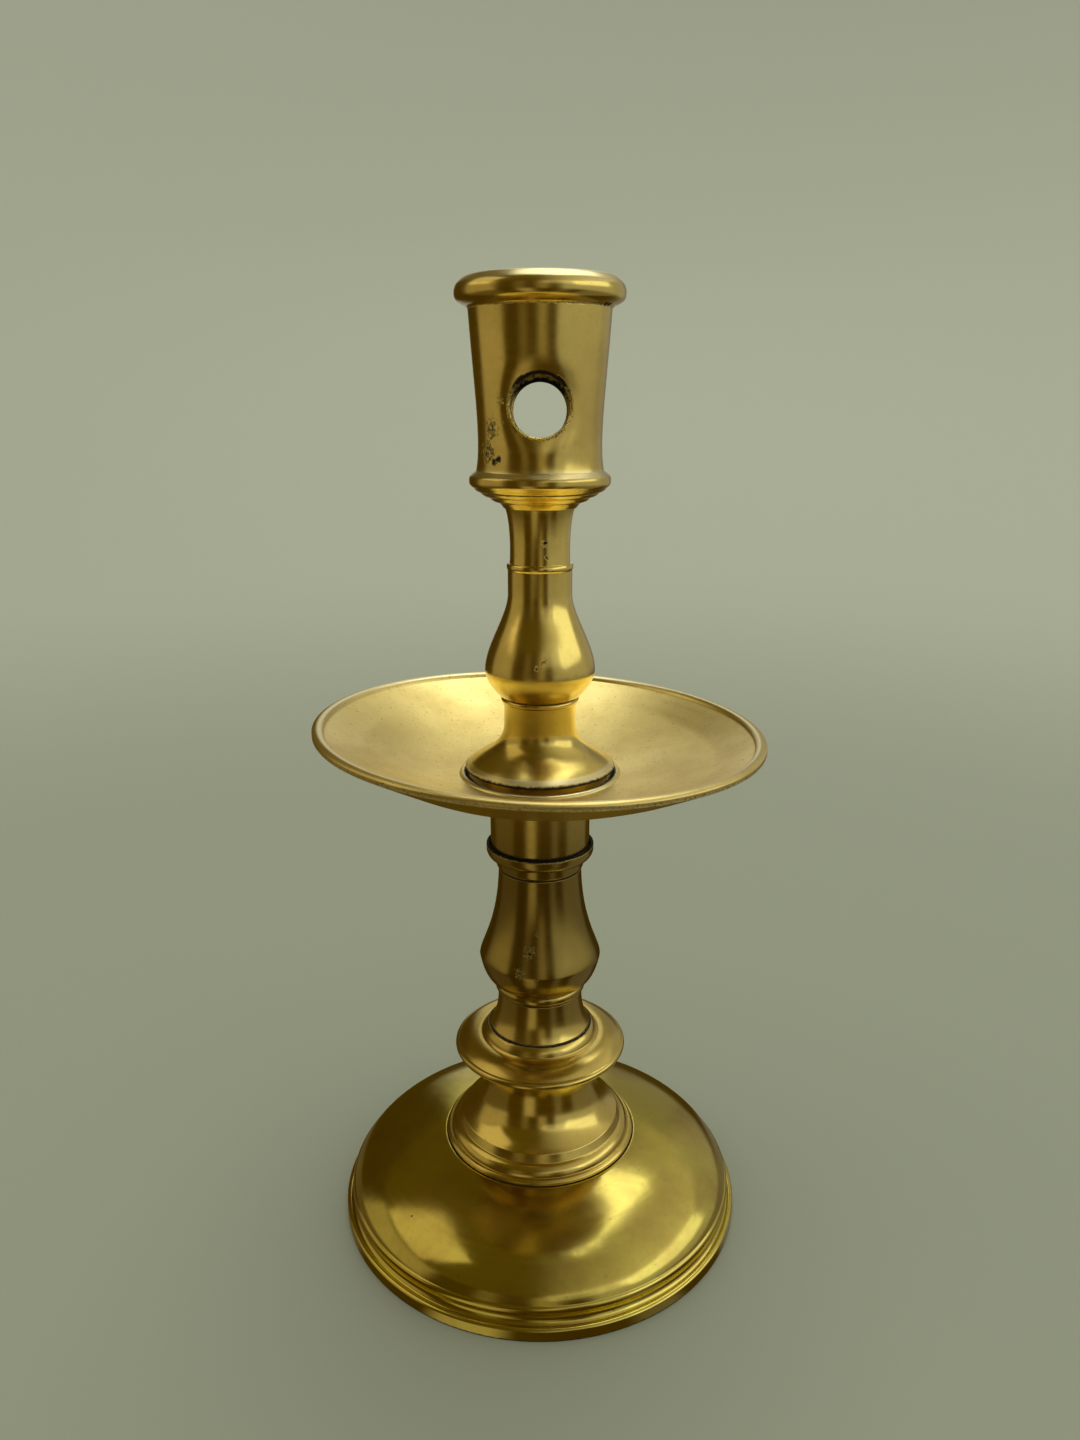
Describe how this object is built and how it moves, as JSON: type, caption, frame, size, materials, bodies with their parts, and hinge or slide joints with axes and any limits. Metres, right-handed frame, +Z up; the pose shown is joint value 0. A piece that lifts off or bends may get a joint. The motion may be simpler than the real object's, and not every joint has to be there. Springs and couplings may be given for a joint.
{
  "type": "pillar candlestick with mid drip pan",
  "caption": "Turned brass pillar candlestick with a domed foot, a dished drip pan halfway up the stem and a windowed candle nozzle that unscrews with its stem.",
  "frame": {"origin": "centre of the foot's ground face", "axes": "+Z up the stem to the candle, -Y towards the front, where the nozzle's window faces"},
  "size_m": [0.092, 0.092, 0.1983],
  "materials": {
    "brass_foot": "cast and turned, polished, darkened with age",
    "brass_stem": "cast and turned, polished, dark in the seams",
    "brass_pan": "cast and turned, softly worn satin",
    "brass_screw": "cut thread, dull",
    "brass_nozzle": "cast and turned, polished, pitted",
    "steel_fixings": "dull, lightly browned"
  },
  "bodies": {
    "base": {"foot": "brass_foot", "pedestal": "brass_stem", "tie_rod": "steel_fixings", "washer": "steel_fixings", "nut": "steel_fixings", "lower_baluster": "brass_stem"},
    "pan": {"drip_pan": "brass_pan", "pan_collar": "brass_stem"},
    "top": {"upper_baluster": "brass_stem", "stem_screw": "brass_screw", "candle_nozzle": "brass_nozzle"}
  },
  "joints": [
    {"name": "unscrew", "type": "hinge", "parent": "base", "child": "pan", "pos_m": [0, 0, 0.1], "axis": [0, 0, 1], "range_deg": [0, 2880]},
    {"name": "stem_rise", "type": "slide", "parent": "pan", "child": "top", "axis": [0, 0, 1], "range_m": [0, 0.012]}
  ],
  "couplings": [
    {"joint": "stem_rise", "follows": "unscrew", "m_per_rad": 0.00023873}
  ]
}
